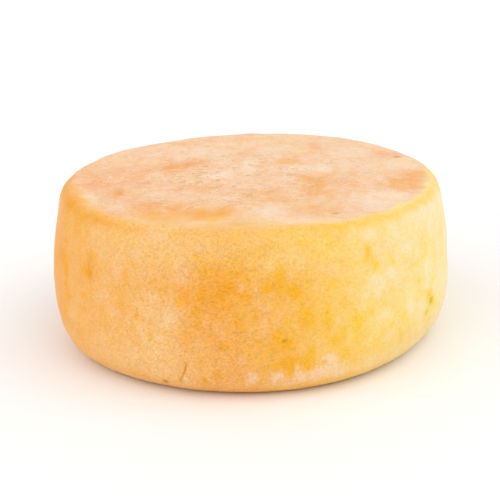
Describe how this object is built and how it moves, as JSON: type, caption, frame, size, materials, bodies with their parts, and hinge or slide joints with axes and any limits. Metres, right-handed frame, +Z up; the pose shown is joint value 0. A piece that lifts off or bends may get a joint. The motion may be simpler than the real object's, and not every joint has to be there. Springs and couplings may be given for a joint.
{
  "type": "cheese wheel",
  "caption": "Whole round cheese wheel with a dry natural rind: a flat foot, a bellied side, a rounded top edge and a slightly sunken top face.",
  "frame": {"origin": "middle of the wheel's bounding box in plan, on the surface that it stands on", "axes": "+Z up through the wheel's axis, -Y towards the side that is meant to be seen, +X to that side's right"},
  "size_m": [0.2006, 0.1998, 0.0798],
  "materials": {
    "rind": "dry washed natural rind, satin matte, honey yellow to orange with paler peach bloom on the top face"
  },
  "bodies": {
    "root": {"cheese_wheel": "rind"}
  },
  "joints": []
}
